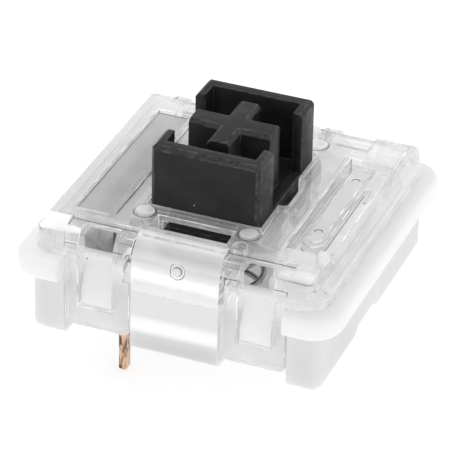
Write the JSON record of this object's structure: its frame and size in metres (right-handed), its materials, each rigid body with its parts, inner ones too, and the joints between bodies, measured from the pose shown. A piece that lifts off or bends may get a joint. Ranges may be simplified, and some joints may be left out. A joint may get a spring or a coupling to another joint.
{
  "type": "mechanical keyboard switch",
  "caption": "Low-profile push switch with a clear upper housing, milky lower housing and black cross stem, for a plate-mounted key.",
  "frame": {"origin": "on the centre post's axis, in the plane where the lower housing seats on the circuit board", "axes": "+Z along the stem, away from the board; +X towards the light window; -X towards the contacts; -Y is the front in the picture"},
  "size_m": [0.0156, 0.0156, 0.0114],
  "materials": {
    "milky_housing": "milky, slightly translucent moulded nylon",
    "clear_housing": "clear moulded polycarbonate",
    "black_stem": "satin black moulded acetal",
    "spring_steel": "drawn spring wire",
    "copper_alloy": "stamped copper alloy, copper coloured",
    "leaf_bronze": "stamped bronze leaf",
    "contact_silver": "riveted silver alloy"
  },
  "bodies": {
    "housing": {"bottom_housing": "milky_housing", "top_housing": "clear_housing", "return_spring": "spring_steel", "leaf_terminal": "copper_alloy", "fixed_terminal": "copper_alloy", "fixed_contact_tip": "contact_silver"},
    "stem": {"stem": "black_stem"},
    "leaf": {"contact_leaf": "leaf_bronze", "leaf_contact_tip": "contact_silver"}
  },
  "joints": [
    {"name": "stem_press", "type": "slide", "parent": "housing", "child": "stem", "axis": [0, 0, -1], "range_m": [0, 0.0028], "stiffness_N_per_m": 160, "springref_m": -0.00125, "deforming": ["return_spring"]},
    {"name": "leaf_swing", "type": "hinge", "parent": "housing", "child": "leaf", "pos_m": [-0.00495, -0.0046, 0.003], "axis": [0, 0, -1], "range_deg": [0, 2.62]}
  ],
  "couplings": [
    {"joint": "leaf_swing", "follows": "stem_press", "rad_per_m": 16.2}
  ]
}
